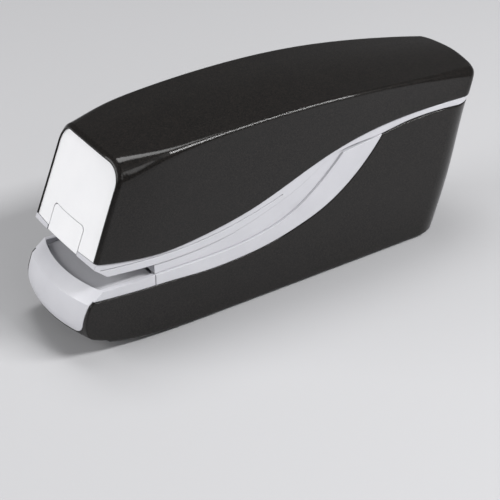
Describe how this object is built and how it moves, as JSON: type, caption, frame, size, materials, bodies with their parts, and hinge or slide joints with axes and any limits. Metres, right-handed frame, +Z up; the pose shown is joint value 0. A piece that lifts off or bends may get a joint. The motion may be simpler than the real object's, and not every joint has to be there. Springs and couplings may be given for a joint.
{
  "type": "electric desk stapler",
  "caption": "Battery-powered desk stapler with a domed lid, slide-out staple drawer, paper mouth with sensor, and a motor, gear train, cam and lever that drive the ram.",
  "frame": {"origin": "on the standing surface, below the middle of the stapler's length and width", "axes": "+Z up; the mouth faces -Y and the length runs along Y; +X to the right seen from behind the mouth's front"},
  "size_m": [0.0484, 0.1946, 0.0821],
  "materials": {
    "black_gloss": "glossy black casing plastic with a fine pearl fleck",
    "white_gloss": "glossy white front plate",
    "silver_plastic": "satin light grey plastic with a cool tint",
    "grey_plastic": "matte mid grey plastic",
    "dark_plastic": "matte dark plastic",
    "white_nylon": "moulded nylon gears",
    "steel": "rolled steel sheet",
    "bright_steel": "ground and polished steel",
    "spring_steel": "drawn spring wire",
    "brass": "turned brass",
    "rubber": "matte black rubber",
    "board_green": "solder-masked glass fibre board",
    "cell_jacket": "plain battery jacket without lettering"
  },
  "bodies": {
    "casing": {"anvil_plate": "bright_steel", "anvil_table": "grey_plastic", "band_shell": "silver_plastic", "base_shell": "black_gloss", "battery_1": "cell_jacket", "battery_2": "cell_jacket", "battery_3": "cell_jacket", "battery_4": "cell_jacket", "battery_contacts": "steel", "battery_cradle": "grey_plastic", "battery_springs": "spring_steel", "board_screws": "bright_steel", "capacitor": "steel", "case_screws": "bright_steel", "circuit_board": "board_green", "control_chip": "dark_plastic", "frame_screws": "bright_steel", "frame_spacers": "bright_steel", "front_plate": "white_gloss", "left_side_plate": "steel", "lever_pin": "bright_steel", "lever_spring": "spring_steel", "lid_shell": "black_gloss", "lower_trim": "silver_plastic", "microswitch": "dark_plastic", "motor_boss": "brass", "motor_can": "steel", "nose_cover": "silver_plastic", "right_side_plate": "steel", "rubber_feet": "rubber", "trigger_pin": "bright_steel", "trigger_spring": "spring_steel"},
    "magazine": {"magazine_cap": "white_gloss", "magazine_channel": "dark_plastic", "magazine_rail": "steel", "staple_strip": "bright_steel", "pusher_rod": "bright_steel", "pusher_spring": "spring_steel"},
    "staple_pusher": {"pusher": "dark_plastic"},
    "camshaft": {"drive_cam": "white_nylon", "cam_gear": "white_nylon", "cam_shaft": "bright_steel"},
    "second_stage": {"second_pinion": "white_nylon", "second_gear": "white_nylon", "second_shaft": "bright_steel"},
    "first_stage": {"first_pinion": "white_nylon", "first_gear": "white_nylon", "first_shaft": "bright_steel"},
    "rotor": {"motor_shaft": "bright_steel", "motor_pinion": "brass"},
    "lever": {"drive_lever": "steel"},
    "striker": {"ram": "steel", "driver_blade": "bright_steel"},
    "paper_trigger": {"trigger_lever": "dark_plastic"},
    "door": {"battery_door": "dark_plastic"}
  },
  "joints": [
    {"name": "cam_turn", "type": "hinge", "parent": "casing", "child": "camshaft", "pos_m": [0, -0.033, 0.0665], "axis": [1, 0, 0], "range_deg": [0, 180]},
    {"name": "second_stage_turn", "type": "hinge", "parent": "casing", "child": "second_stage", "pos_m": [0, -0.01868, 0.06801], "axis": [1, 0, 0], "range_deg": [-540.5, 0]},
    {"name": "first_stage_turn", "type": "hinge", "parent": "casing", "child": "first_stage", "pos_m": [0, -0.00828, 0.06654], "axis": [1, 0, 0], "range_deg": [0, 1728.5]},
    {"name": "rotor_turn", "type": "hinge", "parent": "casing", "child": "rotor", "pos_m": [0, 0.00509, 0.06467], "axis": [1, 0, 0], "range_deg": [-7604, 0]},
    {"name": "lever_swing", "type": "hinge", "parent": "casing", "child": "lever", "pos_m": [0, -0.008, 0.058], "axis": [1, 0, 0], "range_deg": [0, 14.6], "deforming": ["lever_spring"]},
    {"name": "ram_stroke", "type": "slide", "parent": "casing", "child": "striker", "axis": [0, 0, -1], "range_m": [0, 0.0155]},
    {"name": "magazine_slide", "type": "slide", "parent": "casing", "child": "magazine", "axis": [0, -1, 0], "range_m": [0, 0.05]},
    {"name": "pusher_slide", "type": "slide", "parent": "magazine", "child": "staple_pusher", "axis": [0, 1, 0], "range_m": [0, 0.011], "stiffness_N_per_m": 40, "springref_m": -0.02, "deforming": ["pusher_spring"]},
    {"name": "trigger_swing", "type": "hinge", "parent": "casing", "child": "paper_trigger", "pos_m": [0, -0.059, 0.039], "axis": [1, 0, 0], "range_deg": [0, 15], "stiffness_Nm_per_rad": 0.001, "springref_deg": -11.46},
    {"name": "battery_door_slide", "type": "slide", "parent": "casing", "child": "door", "axis": [0, 1, 0], "range_m": [0, 0.06]}
  ],
  "couplings": [
    {"joint": "second_stage_turn", "follows": "cam_turn", "ratio": -3},
    {"joint": "first_stage_turn", "follows": "cam_turn", "ratio": 9.6},
    {"joint": "rotor_turn", "follows": "cam_turn", "ratio": -42.24},
    {"joint": "lever_swing", "follows": "cam_turn", "ratio": 0.081101},
    {"joint": "ram_stroke", "follows": "cam_turn", "m_per_rad": 0.0049338}
  ]
}
